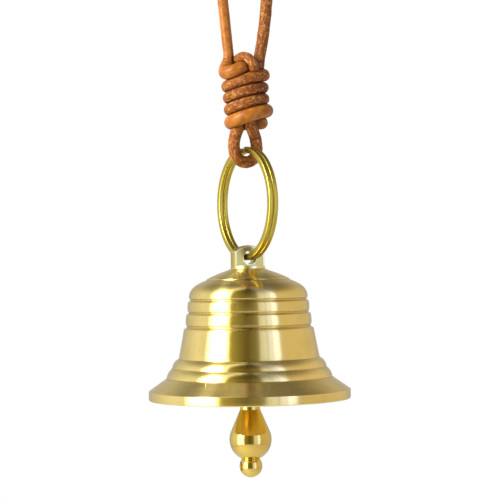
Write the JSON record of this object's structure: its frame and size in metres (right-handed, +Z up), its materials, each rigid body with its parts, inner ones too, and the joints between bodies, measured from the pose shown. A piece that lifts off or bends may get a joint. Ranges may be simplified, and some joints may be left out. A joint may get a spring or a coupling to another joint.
{
  "type": "temple bell",
  "caption": "Small turned brass hand bell with a drop clapper, hung from a split ring on a knotted leather cord loop.",
  "frame": {"origin": "inside top of the cord's loop, where the hook that carries the bell bears", "axes": "+Z up along the bell's axis; +X to the right and -Y towards someone facing the bell"},
  "size_m": [0.0532, 0.0532, 0.1403],
  "materials": {
    "shell_brass": "turned and polished, fine turning lines",
    "lug_brass": "milled and lightly brushed",
    "ring_brass": "polished plated wire",
    "clapper_brass": "turned and polished",
    "fixing_brass": "plain, slightly dull",
    "leather_cord": "round cord, waxed, with fine cracks and darker creases"
  },
  "bodies": {
    "cord": {"cord_loop": "leather_cord", "cord_knot": "leather_cord", "cord_bight": "leather_cord"},
    "ring": {"split_ring": "ring_brass"},
    "bell": {"bell_shell": "shell_brass", "hanger_lug": "lug_brass", "crown_washer": "fixing_brass", "crown_nut": "fixing_brass"},
    "link": {"clapper_link": "fixing_brass"},
    "clapper": {"clapper_stem": "clapper_brass", "clapper_bob": "clapper_brass"}
  },
  "joints": [
    {"name": "ring_swing", "type": "hinge", "parent": "cord", "child": "ring", "pos_m": [0, 0, -0.05405], "axis": [0.8829, 0.4695, 0], "range_deg": [-45, 45]},
    {"name": "bell_swing", "type": "hinge", "parent": "ring", "child": "bell", "pos_m": [0, 0, -0.0792], "axis": [0.342, -0.9397, 0], "range_deg": [-80, 80]},
    {"name": "link_swing", "type": "hinge", "parent": "bell", "child": "link", "pos_m": [0, 0, -0.09256], "axis": [0.342, -0.9397, 0], "range_deg": [-35, 35]},
    {"name": "clapper_swing", "type": "hinge", "parent": "link", "child": "clapper", "pos_m": [0, 0, -0.09576], "axis": [0.9397, 0.342, 0], "range_deg": [-10, 10]}
  ]
}
